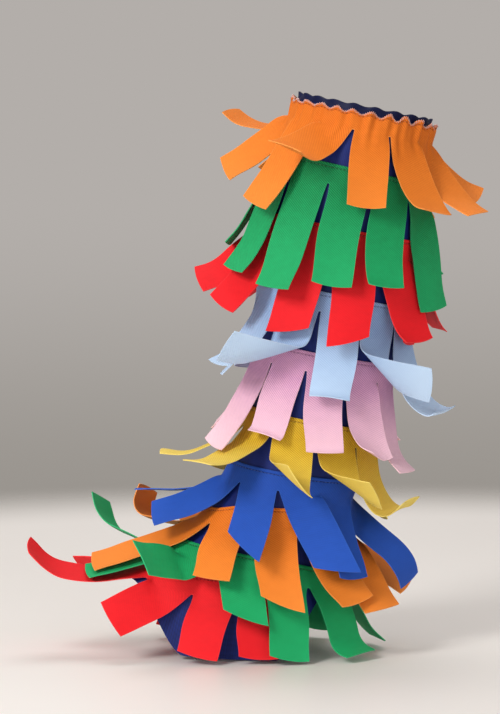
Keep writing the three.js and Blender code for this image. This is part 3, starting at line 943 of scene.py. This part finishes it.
def make_stitches(name, band, material):
    """The line of stitches that holds a band."""
    stitches = Threads(STITCH_RADIUS)
    last = len(STITCH_RISES) - 1
    for k in range(int((band.reach - 2 * STITCH_START) / STITCH_PITCH)):
        path = []
        for part, rise in enumerate(STITCH_RISES):
            along = STITCH_START + k * STITCH_PITCH + STITCH_LENGTH * part / last
            spot, out = band.on_line(along, STITCH_DOWN)
            path.append((spot + out * (RIBBON / 2 + rise), out))
        stitches.run(path)
    return stitches.build(name + "_stitches", material)


def make_overlock(band):
    """Pale zigzag thread that wraps the ruffled top edge."""
    thread = Threads(OVERLOCK_RADIUS, sides=6)
    steps = int(band.reach / OVERLOCK_PITCH) * 2
    path = []
    for k in range(steps + 1):
        low = k % 2 == 1
        spot, out = band.on_line((band.reach * k / steps) % band.reach, OVERLOCK_DEEP if low else 0)
        face = RIBBON / 2 + OVERLOCK_STAND
        rise = Vector((0, 0, 0 if low else OVERLOCK_RISE))
        path.append((spot + out * (face if low else face * OVERLOCK_OVER) + rise, out))
    thread.run(path, taper=False)
    piece = thread.build("overlock_thread", thread_material("thread_pale", *OVERLOCK_TONES))
    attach(piece, "root")


def look(thing, target):
    thing.rotation_euler = (target - thing.location).to_track_quat("-Z", "Y").to_euler()


def make_camera():
    data = bpy.data.cameras.new("camera")
    camera = bpy.data.objects.new("camera", data)
    bpy.context.scene.collection.objects.link(camera)
    camera.location = EYE * MM
    look(camera, AIM * MM)
    data.sensor_width = SENSOR
    data.lens = SENSOR * (AIM - EYE).length / IMAGE_MM
    data.clip_end = CLIP_END * MM
    bpy.context.scene.camera = camera


def make_light(name, place, size, power, colour):
    data = bpy.data.lights.new(name, "AREA")
    data.size = size * MM
    data.energy = power
    data.color = colour
    light = bpy.data.objects.new(name, data)
    bpy.context.scene.collection.objects.link(light)
    light.location = place * MM
    look(light, LIGHT_AIM * MM)


def make_floor():
    """A pale floor that fades out toward the backdrop."""
    m = Nodes("studio_floor")
    place = m.node("ShaderNodeTexCoord").outputs["Object"]
    away = m.node("ShaderNodeVectorMath", {0: place}, operation="LENGTH").outputs["Value"]
    fade = m.ramp(away, FLOOR_CLEAR[0] * MM, FLOOR_CLEAR[1] * MM, 1, 0)
    fade.node.interpolation_type = "SMOOTHSTEP"
    colour = m.blend(m.noise(*FLOOR_MOTTLE), *(linear(tone) for tone in FLOOR_TONES))
    m.tree.links.new(colour, m.shader.inputs["Base Color"])
    m.tree.links.new(fade, m.shader.inputs["Alpha"])
    m.surface({"Roughness": FLOOR_ROUGH})
    turns = [rad(angle) for angle in range(0, 360, 5)]
    ring = [Vector((math.cos(turn), math.sin(turn), 0)) * FLOOR_REACH * MM for turn in turns]
    mesh = bpy.data.meshes.new("floor")
    mesh.from_pydata(ring, [], [tuple(range(len(ring)))])
    mesh.materials.append(m.material)
    floor = bpy.data.objects.new("floor", mesh)
    floor.location = Vector((0, 0, FLOOR)) * MM
    bpy.context.scene.collection.objects.link(floor)


def make_backdrop():
    """A grey studio wall, a little darker low down."""
    world = bpy.data.worlds.new("studio")
    world.use_nodes = True
    nodes, links = world.node_tree.nodes, world.node_tree.links
    ray = nodes.new("ShaderNodeTexCoord")
    parts = nodes.new("ShaderNodeSeparateXYZ")
    links.new(ray.outputs["Generated"], parts.inputs[0])
    rise = nodes.new("ShaderNodeMapRange")
    rise.interpolation_type = "SMOOTHSTEP"
    rise.inputs["From Min"].default_value = BACKDROP[0]
    rise.inputs["From Max"].default_value = BACKDROP[1]
    links.new(parts.outputs["Z"], rise.inputs["Value"])
    tone = nodes.new("ShaderNodeMix")
    tone.data_type = "RGBA"
    tone.inputs[6].default_value = linear(BACKDROP_TONES[0])
    tone.inputs[7].default_value = linear(BACKDROP_TONES[1])
    links.new(rise.outputs[0], tone.inputs[0])
    links.new(tone.outputs[2], nodes["Background"].inputs[0])
    bpy.context.scene.world = world
    bpy.context.scene.view_settings.view_transform = "Standard"


make_camera()
make_floor()
make_backdrop()
for name, settings in LIGHTS.items():
    make_light(name, *settings)

tube = make_tube(knit_material())
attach(tube, "root")
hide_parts("leg_tube")

threads = {slot: thread_material("thread_" + slot, *tones[:2])
           for slot, tones in COLOURS.items() if slot != "knit"}
for index, tier in enumerate(TIERS):
    ribbon = ribbon_material(tier["slot"], tier["weave"])
    make_tier(tier, index, ribbon, threads[tier["slot"]])
